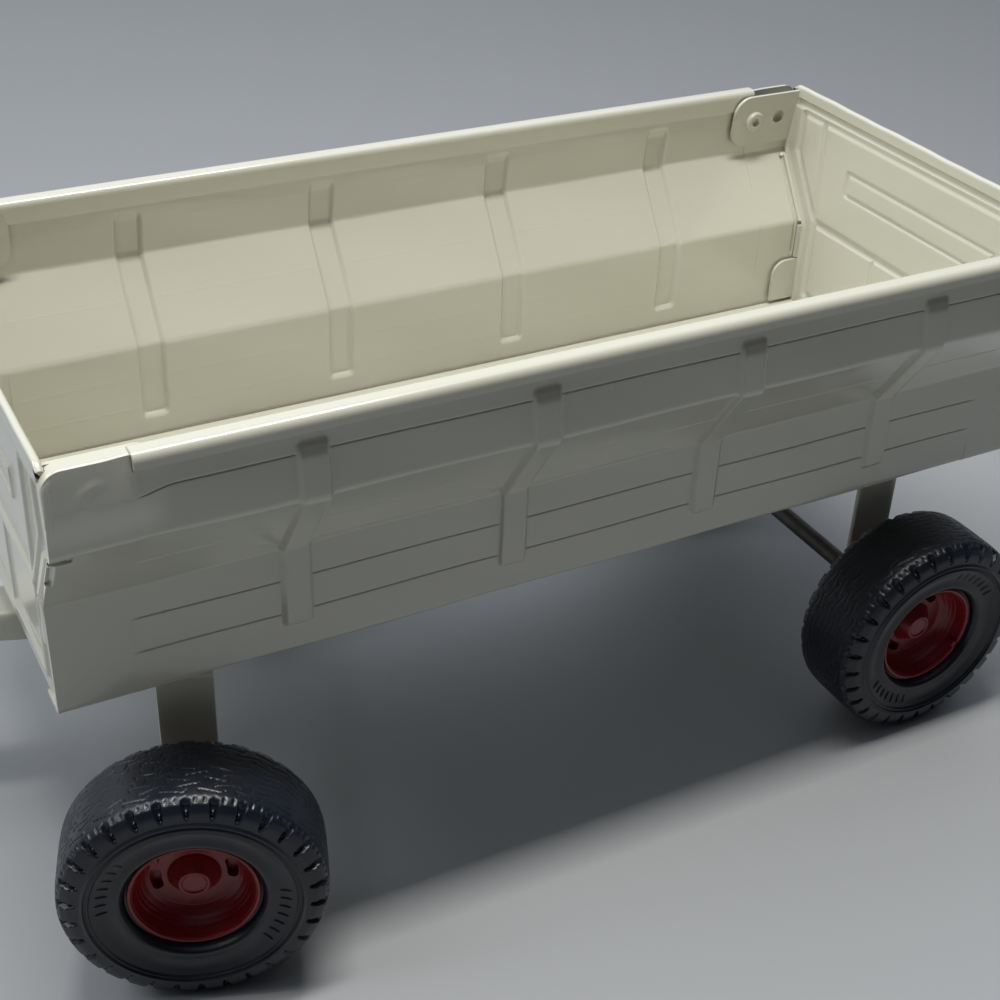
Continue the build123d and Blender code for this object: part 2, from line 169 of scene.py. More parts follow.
def normals2(P):
    """Right-hand normals of an open 2-D path."""
    d = np.gradient(P, axis=0)
    seg = np.diff(P, axis=0)
    seg /= np.linalg.norm(seg, axis=1)[:, None]
    t = np.zeros_like(P)
    t[0], t[-1] = seg[0], seg[-1]
    t[1:-1] = seg[:-1] + seg[1:]
    t /= np.linalg.norm(t, axis=1)[:, None]
    return np.stack([t[:, 1], -t[:, 0]], 1)


# ------------------------------------------------------------------ materials
def new_mat(name):
    m = bpy.data.materials.new(name)
    m.use_nodes = True
    nt = m.node_tree
    nt.nodes.clear()
    out = nt.nodes.new("ShaderNodeOutputMaterial")
    b = nt.nodes.new("ShaderNodeBsdfPrincipled")
    nt.links.new(b.outputs[0], out.inputs[0])
    return m, nt, b


def coords(nt, scale=(1, 1, 1)):
    tc = nt.nodes.new("ShaderNodeTexCoord")
    mp = nt.nodes.new("ShaderNodeMapping")
    mp.inputs["Scale"].default_value = scale
    nt.links.new(tc.outputs["Object"], mp.inputs["Vector"])
    return mp.outputs["Vector"]


def noise(nt, vec, scale, detail=3, rough=0.5):
    n = nt.nodes.new("ShaderNodeTexNoise")
    n.inputs["Scale"].default_value = scale
    n.inputs["Detail"].default_value = detail
    n.inputs["Roughness"].default_value = rough
    nt.links.new(vec, n.inputs["Vector"])
    return n.outputs["Fac"]


def ramp(nt, fac, stops):
    r = nt.nodes.new("ShaderNodeValToRGB")
    e = r.color_ramp.elements
    while len(e) < len(stops):
        e.new(0.5)
    for el, (p, c) in zip(e, stops):
        el.position = p
        el.color = (*c, 1) if len(c) == 3 else c
    nt.links.new(fac, r.inputs["Fac"])
    return r.outputs["Color"]


def mixc(nt, fac, a, b):
    m = nt.nodes.new("ShaderNodeMix")
    m.data_type = "RGBA"
    if isinstance(fac, (int, float)):
        m.inputs[0].default_value = fac
    else:
        nt.links.new(fac, m.inputs[0])
    for sock, v in ((m.inputs[6], a), (m.inputs[7], b)):
        if isinstance(v, tuple):
            sock.default_value = (*v, 1)
        else:
            nt.links.new(v, sock)
    return m.outputs[2]


def bump(nt, bsdf, height, strength, dist):
    b = nt.nodes.new("ShaderNodeBump")
    b.inputs["Strength"].default_value = strength
    b.inputs["Distance"].default_value = dist
    nt.links.new(height, b.inputs["Height"])
    nt.links.new(b.outputs["Normal"], bsdf.inputs["Normal"])
    return b


def addv(nt, a, b, wa=1.0, wb=1.0):
    m1 = nt.nodes.new("ShaderNodeMath"); m1.operation = "MULTIPLY"
    nt.links.new(a, m1.inputs[0]); m1.inputs[1].default_value = wa
    m2 = nt.nodes.new("ShaderNodeMath"); m2.operation = "MULTIPLY_ADD"
    nt.links.new(b, m2.inputs[0]); m2.inputs[1].default_value = wb
    nt.links.new(m1.outputs[0], m2.inputs[2])
    return m2.outputs[0]


def paint(name, base, dark, rough=0.3):
    m, nt, b = new_mat(name)
    v = coords(nt)
    tone = ramp(nt, noise(nt, v, 14, 5, 0.6), [(0.15, dark), (0.85, base)])
    # small chips down to rusty steel
    vo = nt.nodes.new("ShaderNodeTexVoronoi")
    vo.inputs["Scale"].default_value = 75
    nt.links.new(v, vo.inputs["Vector"])
    chip = ramp(nt, vo.outputs["Distance"],
                [(0.030, (1, 1, 1)), (0.045, (0, 0, 0))])
    some = ramp(nt, noise(nt, v, 31, 1), [(0.63, (0, 0, 0)), (0.65, (1, 1, 1))])
    mul = nt.nodes.new("ShaderNodeMath"); mul.operation = "MULTIPLY"
    nt.links.new(chip, mul.inputs[0]); nt.links.new(some, mul.inputs[1])
    col = mixc(nt, mul.outputs[0], tone, (0.075, 0.045, 0.025))
    nt.links.new(col, b.inputs["Base Color"])
    rr = ramp(nt, noise(nt, v, 70, 3), [(0.1, (rough - 0.04,) * 3),
                                        (0.9, (rough + 0.06,) * 3)])
    nt.links.new(rr, b.inputs["Roughness"])
    b.inputs["Coat Weight"].default_value = 0.9
    b.inputs["Coat IOR"].default_value = 1.6
    b.inputs["Coat Roughness"].default_value = 0.12
    h = addv(nt, noise(nt, v, 28, 2), noise(nt, v, 420, 2), 1.0, 0.05)
    bump(nt, b, h, 0.16, 0.0005)
    return m


def rubber(name):
    m, nt, b = new_mat(name)
    v = coords(nt)
    c = ramp(nt, noise(nt, v, 60, 4), [(0.3, (0.0050, 0.0070, 0.0125)),
                                       (0.75, (0.010, 0.0140, 0.0240))])
    nt.links.new(c, b.inputs["Base Color"])
    rr = ramp(nt, noise(nt, v, 130, 3), [(0.3, (0.28,) * 3), (0.7, (0.42,) * 3)])
    nt.links.new(rr, b.inputs["Roughness"])
    bump(nt, b, noise(nt, v, 900, 3), 0.2, 0.0002)
    return m


def plastic(name, a, c2):
    m, nt, b = new_mat(name)
    v = coords(nt)
    c = ramp(nt, noise(nt, v, 45, 3), [(0.3, a), (0.7, c2)])
    nt.links.new(c, b.inputs["Base Color"])
    rr = ramp(nt, noise(nt, v, 160, 2), [(0.3, (0.24,) * 3), (0.7, (0.36,) * 3)])
    nt.links.new(rr, b.inputs["Roughness"])
    b.inputs["Subsurface Weight"].default_value = 0.0
    bump(nt, b, noise(nt, v, 500, 2), 0.15, 0.0002)
    return m


def steel(name, a, c2, metallic=0.9, r0=0.3, r1=0.5):
    m, nt, b = new_mat(name)
    v = coords(nt)
    c = ramp(nt, noise(nt, v, 150, 5, 0.6), [(0.3, a), (0.7, c2)])
    nt.links.new(c, b.inputs["Base Color"])
    rr = ramp(nt, noise(nt, v, 260, 3), [(0.3, (r0,) * 3), (0.7, (r1,) * 3)])
    nt.links.new(rr, b.inputs["Roughness"])
    b.inputs["Metallic"].default_value = metallic
    bump(nt, b, noise(nt, v, 700, 3), 0.2, 0.0002)
    return m


CREAM = paint("cream_paint", (0.635, 0.625, 0.525), (0.61, 0.598, 0.495))
TYRE = rubber("tyre_rubber")
RED = plastic("hub_plastic", (0.20, 0.008, 0.010), (0.27, 0.012, 0.014))
DARK = steel("axle_steel", (0.045, 0.042, 0.038), (0.10, 0.09, 0.08), 0.7)
STEEL = steel("plain_steel", (0.38, 0.35, 0.28), (0.55, 0.51, 0.42), 0.75)

# ------------------------------------------------------------------ box
T = 0.9
Z0, ZF2, ZF1, ZR = 60.8, 84.9, 101.9, 119.0
OB, OF2, OF1 = 43.15, 42.85, 54.25
RIM_END = 98.0
SIDE_END = 112.6
RIBS = [-66.6 + 45.5 * i for i in range(4)]


def rib_height(x, s, s0, s1):
    """Rounded raised strip; x and s are arrays of the same shape."""
    h = np.zeros_like(x)
    for xc in RIBS:
        qx = np.abs(x - xc) - 3.15 + 1.2
        qs = np.abs(s - (s0 + s1) / 2) - (s1 - s0) / 2 + 1.2
        d = np.hypot(np.maximum(qx, 0), np.maximum(qs, 0)) + np.minimum(
            np.maximum(qx, qs), 0) - 1.2
        h = np.maximum(h, 0.92 * (1 - sstep(-1.0, 0.25, d)) +
                       0.10 * np.exp(-((d + 0.75) / 0.35) ** 2))
    return h


def near_rib(x):
    return np.min([np.abs(x - xc) for xc in RIBS], axis=0)


SCORES = (110.4, 93.2, 77.4, 70.0)


def wall_samples(lo, hi, base=0.7):
    xs = [np.arange(lo, hi, base), [hi]]
    for xc in RIBS:
        for s in (-1, 1):
            a = xc + s * 2.7
            seg = np.arange(a - 0.9, a + 0.9, 0.14)
            xs.append(seg[(seg > lo) & (seg < hi)])
    return np.unique(np.round(np.concatenate(xs), 3))


def side_panel(name, sg, nodes):
    """sg = -1 right wall (-Y), +1 left wall."""
    parts = Parts()
    # outer face, flange tip to the start of the rim
    base = fillet([(35.8, Z0), (OB, Z0), (OF2, ZF2), (OF1, ZF1), (52.7, 115.6)],
                  [1.3, 2.2, 2.2], 9)
    wall = resample(base, 0.42)
    # the roll is drawn as its own folded strip, lapped into the wall
    mid = fillet([(52.25, 114.0), (51.95, ZR - 0.45), (55.5, ZR - 0.45),
                  (55.6, ZR - 3.0)], [0.9, 1.5], 10)
    mid = resample(mid, 0.35)

    def lean(x, z):
        """How far the end of the wall is set out to clear the tab."""
        k = sstep(ZF1 + 0.2, 111.0, z)
        return sstep(90.5, 97.9, np.abs(x)) * k * 1.9

    xs = wall_samples(-RIM_END, RIM_END)
    # arc length along the wall's straight part
    W = wall
    s = np.concatenate([[0], np.cumsum(np.linalg.norm(np.diff(W, axis=0),
                                                      axis=1))])
    sc = []
    for zc in SCORES:
        k = int(np.argmin(np.abs(W[:, 1] - zc) + 100 * (W[:, 0] < 41)))
        sc.append(s[k])
    more = np.concatenate([c + np.array([-0.45, -0.3, -0.2, -0.1, 0, 0.1, 0.2,
                                         0.3, 0.45]) for c in sc])
    away = np.min(np.abs(s[:, None] - np.array(sc)[None]), axis=1) > 0.5
    sn = np.unique(np.round(np.concatenate([s[away], more]), 4))
    sn = sn[(sn >= 0) & (sn <= s[-1])]
    W = np.stack([np.interp(sn, s, W[:, 0]), np.interp(sn, s, W[:, 1])], 1)
    s = sn
    i0 = int(np.argmin(np.abs(W[:, 1] - 67.0) + 100 * (W[:, 0] < 40)))
    i1 = int(np.argmin(np.abs(W[:, 1] - 112.6)))
    N = normals2(W)                      # right-hand normal = outward
    X, S = np.meshgrid(xs, s, indexing="ij")
    h = rib_height(X, S, s[i0], s[i1])
    # the ribs run out softly under the rim
    h = h * (1 - 0.62 * sstep(s[i1] - 3.2, s[i1], S))
    Zg = np.broadcast_to(W[:, 1], X.shape)
    onwall = np.broadcast_to(W[:, 0] > 41, X.shape)
    g = np.zeros_like(X)
    for c in sc:
        g = np.maximum(g, np.exp(-((S - c) / 0.14) ** 2))
    keep = sstep(3.0, 3.3, near_rib(X)) * (1 - sstep(96, 98, np.abs(X)))
    # pinched crease up the slope from each rib's corner at the lower fold
    s2 = s[int(np.argmin(np.abs(W[:, 1] - ZF2) + 100 * (W[:, 0] < 41)))]
    for xc in RIBS:
        a = np.array([xc - 3.2, s2 + 0.6])
        v = np.array([-6.0, 5.2])
        t = np.clip(((X - a[0]) * v[0] + (S - a[1]) * v[1]) / (v @ v), 0, 1)
        q = np.hypot(X - a[0] - t * v[0], S - a[1] - t * v[1])
        g = np.maximum(g, 1.6 * np.exp(-(q / 0.33) ** 2) * (1 - 0.8 * t))
    h = np.where(onwall, h, 0)
    # faint oil-canning of the thin sheet
    h = h + np.where(onwall, 0.16 * np.sin(X * 0.11 + S * 0.13) *
                     np.sin(S * 0.09), 0)
    ho = h - np.where(onwall, 0.17 * g * keep, 0)
    hi = h - np.where(onwall, 0.02 * g * keep, 0)
    O = W[:, 0][None] + N[:, 0][None] * ho + lean(X, Zg)
    Zo = W[:, 1][None] + N[:, 1][None] * ho
    A = np.stack([X, sg * O, Zo], -1)
    Oi = W[:, 0][None] + N[:, 0][None] * (hi - T) + lean(X, Zg)
    Zi = W[:, 1][None] + N[:, 1][None] * (hi - T)
    B = np.stack([X, sg * Oi, Zi], -1)
    parts.shell(A, B, flip=(sg > 0))
    # rolled rim
    M = mid
    NM = normals2(M)
    xr = np.arange(-RIM_END, RIM_END + 0.01, 1.2)
    xr = np.append(xr, RIM_END) if xr[-1] < RIM_END else xr
    XR, _ = np.meshgrid(xr, M[:, 0], indexing="ij")
    wob = 0.10 * np.sin(XR * 0.07) + 0.06 * np.sin(XR * 0.19 + 1)
    fade = sstep(114, 118, M[:, 1])[None]
    for_a = np.stack([XR, sg * (M[:, 0] - NM[:, 0] * T / 2 + 0 * XR),
                      M[:, 1] - NM[:, 1] * T / 2 + wob * 0 * fade], -1)
    for_b = np.stack([XR, sg * (M[:, 0] + NM[:, 0] * T / 2 + 0 * XR),
                      M[:, 1] + NM[:, 1] * T / 2 + 0 * XR], -1)
    parts.shell(for_a, for_b, flip=(sg < 0))
    # end zones: the wall runs on, set out, to a plate with a round corner
    for se in (-1, 1):
        xe = np.concatenate([np.arange(RIM_END, 108.0, 0.5),
                             np.arange(108.0, SIDE_END - 0.2, 0.22),
                             SIDE_END - 3.5 + 3.5 * np.sin(
                                 np.linspace(0, math.pi / 2, 14))])
        xe = np.unique(np.round(xe, 4))
        R = 3.5
        ZT = ZR - 0.75
        ztop = ZT - (R - np.sqrt(np.maximum(
            R * R - np.maximum(xe - (SIDE_END - R), 0) ** 2, 0)))
        rows = resample(fillet([(35.8, Z0), (OB, Z0), (OF2, ZF2), (OF1, ZF1),
                                (52.4, ZT)], [1.3, 2.2, 2.2], 9), 0.42)
        NR = normals2(rows)
        XE, ZQ = np.meshgrid(xe, rows[:, 1], indexing="ij")
        up = ZQ > 103.8
        f = np.where(up, (ZQ - 103.8) / (ZT - 103.8), 0)
        ZZ = np.where(up, 103.8 + f * (ztop[:, None] - 103.8), ZQ)
        OO = rows[:, 0][None] + lean(XE, ZZ) + \
            sstep(98.4, 103, XE) * sstep(108, 118, ZZ) * 0.35
        # shallow pucker round the eyelet's clinched end
        dd = np.hypot(XE - 104.2, ZZ - 111.9)
        OO = OO + np.where(rows[:, 0][None] > 41,
                           0.16 * np.exp(-((dd - 2.4) / 0.8) ** 2) *
                           sstep(-1, 2.4, XE - 104.2 + (ZZ - 111.9) * 0.6), 0)
        # slit for the lock tab just under the upper fold
        ss = 1 - sstep(0.25, 0.55, np.abs(ZZ - 100.2))
        slit = ss * sstep(108.7, 109.1, XE)
        OI = OO - NR[:, 0][None] * T
        OO = OO - np.where(rows[:, 0][None] > 41, 1.7 * slit, 0)
        # the lug under the slit is dressed inwards
        lug = sstep(111.35, 112.25, XE) * (1 - sstep(99.0, 99.7, ZZ)) * \
            sstep(92.4, 93.0, ZZ)
        OO = OO - np.where(rows[:, 0][None] > 41, 1.5 * lug, 0)
        # dark seam beside the end panel's flange, on the inside
        seam = np.exp(-((XE - 109.2) / 0.36) ** 4) * (
            sstep(75.5, 76.5, ZZ) * (1 - sstep(99.5, 100.5, ZZ)))
        OI = OI + np.where(rows[:, 0][None] > 41, 0.6 * seam, 0)
        A = np.stack([se * XE, sg * OO, ZZ], -1)
        B = np.stack([se * XE, sg * np.minimum(OI, OO + 9),
                      ZZ - NR[:, 1][None] * T *
                      np.where(up, 0.0, 1.0)], -1)
        parts.shell(A, B, flip=(sg * se > 0))
        if se < 0:
            # turned-in top strip, running down round the corner
            arc = np.linspace(0, math.pi / 2, 12)
            flat = np.arange(RIM_END - 0.2, SIDE_END - R, 0.5)
            px = np.concatenate([flat, SIDE_END - R + R * np.sin(arc),
                                 np.full(16, SIDE_END)])
            pz = np.concatenate([np.full(len(flat), ZT),
                                 ZT - R + R * np.cos(arc),
                                 np.linspace(ZT - R - 0.5, 108.0, 16)])
            Nn = normals2(np.stack([px, pz], 1))
            outer = np.interp(pz, rows[:, 1][rows[:, 1] > 103],
                              rows[:, 0][rows[:, 1] > 103]) + lean(px, pz) + \
                sstep(98.4, 103, px) * sstep(108, 118, pz) * 0.35
            innr = np.full(len(pz), 51.75)
            fall = np.clip((ZT - pz) / R, 0, 1)
            innr = innr + (outer - 2.2 - innr) * fall ** 4
            innr = np.where(pz < ZT - R, outer - 0.95 - 0.55 *
                            sstep(111.0, ZT - R, pz), innr)
            # section across the strip: up the plate, round the bend, inwards
            bo = [0.0, 0.02, 0.10, 0.28, 0.55, 0.85]
            bn = [-1.2, -0.85, -0.48, -0.18, -0.03, 0.0]
            flatw = np.linspace(0, 1, 6)[1:]
            Wd, Dn = [], []
            for k in range(len(px)):
                w1 = outer[k] - 0.85
                Wd.append([outer[k] - q + 0.04 for q in bo] +
                          [w1 + (innr[k] - w1) * q for q in flatw])
                Dn.append(bn + [0.0] * len(flatw))
            Wd, Dn = np.array(Wd), np.array(Dn) + 0.12
            Po = -Nn                                  # away from the box
            A = np.stack([se * (px[:, None] + Po[:, 0][:, None] * Dn),
                          sg * Wd, pz[:, None] + Po[:, 1][:, None] * Dn], -1)
            B = np.stack([se * (px[:, None] + Po[:, 0][:, None] * (Dn - 0.7)),
                          sg * np.minimum(Wd, outer[:, None] - 0.5),
                          pz[:, None] + Po[:, 1][:, None] * (Dn - 0.7)], -1)
            parts.shell(A, B, flip=(sg > 0))
    ob = parts.make(name, CREAM, 38)
    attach(ob, "box")
    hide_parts(*nodes)
    return ob


side_panel("side_panel_right_skin", -1, ["right_side_panel"])
side_panel("side_panel_left_skin", 1, ["left_side_panel"])


def end_panel(name, se, nodes):
    """se = -1 front, +1 rear. Drawn with outward = +x then mirrored."""
    parts = Parts()
    xo = 112.75
    half = [(41.1, 60.3), (40.9, 84.6), (52.4, 101.8), (51.6, 118.0)]
    edge = resample(fillet(half, [3.0, 3.0], 9), 0.4)
    us = np.linspace(-1, 1, 361)
    U, Zg = np.meshgrid(us, edge[:, 1], indexing="ij")
    w = edge[:, 0][None]
    Y = U * w

    def seg(y0, z0, y1, z1):
        v = np.array([y1 - y0, z1 - z0])
        t = np.clip(((Y - y0) * v[0] + (Zg - z0) * v[1]) / (v @ v), 0, 1)
        return np.hypot(Y - y0 - t * v[0], Zg - z0 - t * v[1])

    def swage(q, r=1.25, hgt=0.75):
        return hgt * (1 - sstep(r * 0.25, r, q))
    bb = np.zeros_like(Y)
    for m in (-1, 1):
        loop = [(m * 46.6, 112.9), (m * 47.2, 103.0), (m * 36.6, 86.7),
                (m * 36.6, 66.0)]
        for p0, p1 in zip(loop, loop[1:]):
            bb = np.maximum(bb, swage(seg(*p0, *p1)))
        bb = np.maximum(bb, swage(seg(m * 38.2, 112.9, m * 36.9, 88.5)))
        bb = np.maximum(bb, swage(seg(m * 12.5, 86.7, m * 12.5, 66.0), 1.0,
                                  0.5))
    bb = np.maximum(bb, swage(seg(-46.6, 113.1, 46.6, 113.1), 1.1, 0.45))
    bb = np.maximum(bb, swage(seg(-36.6, 86.6, 36.6, 86.6), 1.45, 0.9))
    bb = np.maximum(bb, swage(seg(-36.6, 66.0, 36.6, 66.0)))
    # plain raised bar outline where the pressing carries its wording
    for z in (98.0, 103.8):
        bb = np.maximum(bb, swage(seg(-26.5, z, 26.5, z), 0.8, 0.5))
    for y in (-26.5, 26.5):
        bb = np.maximum(bb, swage(seg(y, 98.0, y, 103.8), 0.8, 0.5))
    # set out a little behind the hem
    bb = np.maximum(bb, 0.8 * sstep(113.7, 114.7, Zg))
    Xo = xo - 0.9 + bb
    # the edge of the panel turns in to its flanges
    dist = w - np.abs(Y)
    Xo = Xo - 0.5 * (1 - sstep(0, 1.6, dist))
    A = np.stack([se * Xo, Y, Zg], -1)
    B = np.stack([se * (Xo - 0.8), Y, Zg], -1)
    parts.shell(A, B, flip=(se < 0))
    # narrow closed hem along the top
    hem = resample(fillet([(xo - 0.5, 115.6), (xo, 116.2),
                           (xo, ZR), (xo - 1.55, ZR),
                           (xo - 1.55, 116.1), (xo - 1.1, 115.9)],
                          [0.3, 0.62, 0.72, 0.25], 8), 0.25)
    core = np.stack([np.full(len(hem), xo - 0.8),
                     np.clip(hem[:, 1], 116.2, ZR - 0.9)], 1)
    ys = np.linspace(-52.8, 52.8, 120)
    YY, _ = np.meshgrid(ys, hem[:, 0], indexing="ij")
    dent = 0.05 * np.sin(YY * 0.21) + 0.04 * np.sin(YY * 0.53 + 1)
    # dressed down at both ends, where it meets the side panels
    dip = 1.1 * sstep(51.2, 52.8, np.abs(YY))
    dent = dent - dip
    A = np.stack([se * (hem[:, 0][None] + 0 * YY), YY,
                  hem[:, 1][None] + dent * (hem[:, 1][None] > 118)], -1)
    B = np.stack([se * (core[:, 0][None] + 0 * YY), YY,
                  core[:, 1][None] - dip * (core[:, 1][None] > 117.2)], -1)
    parts.shell(A, B, flip=(se > 0))
    for sg in (-1, 1):
        # side flanges with a rounded bend, notched at the fold
        for (za, zb) in ((75.2, 84.3), (85.4, 100.4)):
            zz = np.linspace(za, zb, 40)
            oo = np.interp(zz, edge[:, 1], edge[:, 0])
            sec = resample(fillet([(xo - 1.0, -2.6), (xo - 1.0, -0.25),
                                   (109.75, -0.25)], [1.0], 8), 0.3)
            NS = normals2(sec)
            ZZ, _ = np.meshgrid(zz, sec[:, 0], indexing="ij")
            O = oo[:, None] + sec[:, 1][None]
            A = np.stack([se * (sec[:, 0][None] + 0 * ZZ), sg * O, ZZ], -1)
            B = np.stack([se * (sec[:, 0] + NS[:, 0] * T)[None] + 0 * ZZ,
                          sg * (O + NS[:, 1][None] * T), ZZ], -1)
            parts.shell(A, B, flip=(sg * se > 0))
        # top tab with a round end and an eyelet hole
        zc, hz = 111.1, 6.7
        L = 20.6
        n = 120
        th = np.linspace(0, 2 * math.pi, n, endpoint=False)
        # outline: stadium end on the left, square at the bend
        outl = []
        r = 4.4
        for t in np.linspace(math.pi / 2, math.pi, 14):
            outl.append((xo - L + r + r * math.cos(t), zc + hz - r +
                         r * math.sin(t)))
        for t in np.linspace(math.pi, 1.5 * math.pi, 14):
            outl.append((xo - L + r + r * math.cos(t), zc - hz + r +
                         r * math.sin(t)))
        left = np.array(outl)
        # rows along z, columns from the left outline to the bend
        zz = np.unique(np.concatenate([left[:, 1],
                                       np.linspace(zc - hz, zc + hz, 60)]))
        xl = np.interp(zz, left[::-1, 1], left[::-1, 0])
        xl[0], xl[-1] = left[-1, 0], left[0, 0]
        uu = np.linspace(0, 1, 70)
        XX = xl[:, None] + (xo - 0.5 - xl[:, None]) * uu[None]
        ZZ = np.broadcast_to(zz[:, None], XX.shape)
        O = 53.1 + (51.38 - 53.1) * (ZZ - 104.4) / 14.0 - 0.45
        bend = sstep(xo - 1.6, xo - 0.4, XX) * 0.8
        hole = np.hypot(XX - 106.0, ZZ - 111.3)
        dep = (1 - sstep(1.42, 1.62, hole)) * 2.6
        A = np.stack([se * XX, sg * (O - T - bend + dep), ZZ], -1)
        B = np.stack([se * XX, sg * (O - bend * 0.4 + dep * 0.25), ZZ], -1)
        parts.shell(A, B, flip=(sg * se > 0))
        # lower ear
        zc2 = 68.6
        outl = [(xo - 9.6 + 4 + 4 * math.cos(t), 74.8 - 4 + 4 * math.sin(t))
                for t in np.linspace(math.pi / 2, math.pi, 12)]
        outl.append((xo - 9.6, 63.6))
        left = np.array(outl)
        zz = np.unique(np.concatenate([left[:, 1], np.linspace(63.6, 74.8, 20)]))
        xl = np.interp(zz, left[::-1, 1], left[::-1, 0])
        xl[-1] = left[0, 0]
        uu = np.linspace(0, 1, 24)
        XX = xl[:, None] + (xo - 0.5 - xl[:, None]) * uu[None]
        ZZ = np.broadcast_to(zz[:, None], XX.shape)
        A = np.stack([se * XX, sg * (0 * XX + 40.6), ZZ], -1)
        B = np.stack([se * XX, sg * (0 * XX + 41.4), ZZ], -1)
        parts.shell(A, B, flip=(sg * se > 0))
    ob = parts.make(name, CREAM, 38)
    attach(ob, "box")
    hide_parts(*nodes)
    return ob


end_panel("end_panel_front_skin", -1, ["front_end_panel"])
end_panel("end_panel_rear_skin", 1, ["rear_end_panel"])


def ring_on(name, centre, axis, prof, mat, body, slot, nodes=(), n=64):
    """Revolved profile (r, u) about axis through centre, mm."""
    a = Vector(axis).normalized()
    t = Vector((0, 0, 1)) if abs(a.z) < 0.9 else Vector((1, 0, 0))
    e1 = a.cross(t).normalized()
    e2 = a.cross(e1)
    prof = np.array(prof, float)
    th = np.linspace(0, 2 * math.pi, n, endpoint=False)
    c, s = np.cos(th), np.sin(th)
    R, U = prof[:, 0], prof[:, 1]
    P = (np.array(centre)[None, None] +
         R[None, :, None] * (c[:, None, None] * np.array(e1) +
                             s[:, None, None] * np.array(e2)) +
         U[None, :, None] * np.array(a))
    p = Parts()
    p.patch(P, wu=True, wv=True)
    return p


def eyelets():
    p = Parts()
    for sx in (-1, 1):
        for sg in (-1, 1):
            lean = math.radians(7.3)
            ax = np.array([0, -sg * math.cos(lean), -math.sin(lean)])
            c = np.array([sx * 98.4, sg * (52.28 - T - 0.47), 111.1])
            prof = fillet([(0.02, -0.1), (0.85, -0.1), (1.0, 1.0),
                           (2.55, 0.95), (2.6, -0.2), (1.5, -0.3),
                           (0.02, -0.3)], [0.25, 0.62, 0.55, 0.1, 0.1], 7)
            q = ring_on("e", c, ax, prof, None, None, None)
            p.v.append(q.v[0]); p.f.append(q.f[0] + p.n)
            p.n += q.n
    ob = p.make("corner_eyelets_skin", CREAM, 40)
    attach(ob, "box")
    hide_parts("corner_eyelets")


eyelets()

# ------------------------------------------------------------------ wheels
N_LUG = 30


def tyre_points():
    """Tyre surface: angle by profile, with tread and shoulder lugs."""
    prof = [(11.55, -6.5), (12.9, -6.7), (13.15, -7.8), (13.8, -8.9),
            (16.4, -8.35), (19.3, -9.75), (20.3, -9.95), (20.9, -9.6),
            (22.8, -9.45), (24.4, -8.6), (25.15, -7.3), (25.36, -5.0),
            (25.39, 0), (25.36, 5.0), (25.15, 7.3), (24.4, 8.6),
            (22.8, 9.45), (20.9, 9.6), (20.3, 9.95), (19.4, 9.75),
            (16.4, 8.35), (13.8, 8.9), (13.15, 7.8), (12.9, 6.7),
            (11.55, 6.5)]
    rad = [0.4, 0.5, 1.0, 6, 3, 0.35, 0.4, 3, 1.2, 3, 20, 20, 20, 3, 1.2, 3,
           0.4, 0.35, 3, 6, 1.0, 0.5, 0.4]
    P = resample(fillet(prof, rad, 5), 0.24)
    return P


